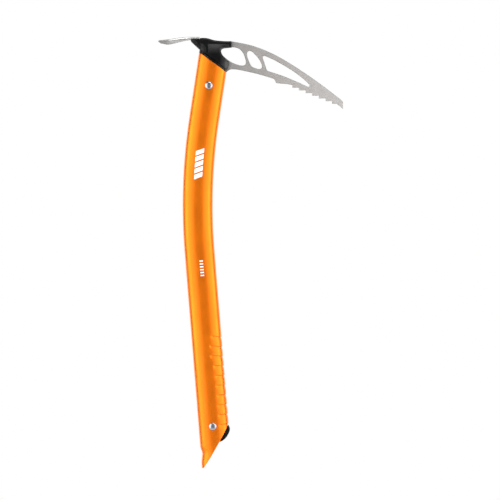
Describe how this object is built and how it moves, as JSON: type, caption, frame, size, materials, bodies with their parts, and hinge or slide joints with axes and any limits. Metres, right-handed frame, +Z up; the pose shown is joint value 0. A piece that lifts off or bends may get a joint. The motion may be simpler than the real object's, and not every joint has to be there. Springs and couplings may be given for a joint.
{
  "type": "ice axe",
  "caption": "Compact ice axe with a bent oval metal shaft, a toothed and pierced steel pick, a sheet adze, a moulded head cover and an angled spike.",
  "frame": {"origin": "centre of the clip hole behind the pick, in the middle plane of the pick plate", "axes": "+Z up along the axe, from the spike to the head; +X towards the pick; Y across the pick plate, with the plate's middle at Y = 0"},
  "size_m": [0.1932, 0.044, 0.4497],
  "materials": {
    "shaft": "bead-blasted and anodised orange",
    "pick": "tumbled satin steel plate",
    "adze": "tumbled satin steel sheet, ground edge",
    "rivets": "smooth bright steel",
    "head_cover": "black moulded nylon, fine grain",
    "tang_shims": "grey moulded nylon",
    "sleeve": "plain turned aluminium",
    "end_plug": "black moulded rubber"
  },
  "bodies": {
    "root": {"shaft": "shaft", "pick": "pick", "adze": "adze", "adze_rivet_rear": "rivets", "adze_rivet_front": "rivets", "head_cover_left": "head_cover", "head_cover_right": "head_cover", "tang_shim_left": "tang_shims", "tang_shim_right": "tang_shims", "head_rivet": "rivets", "end_rivet": "rivets", "end_rivet_sleeve": "sleeve", "end_plug": "end_plug"}
  },
  "joints": []
}
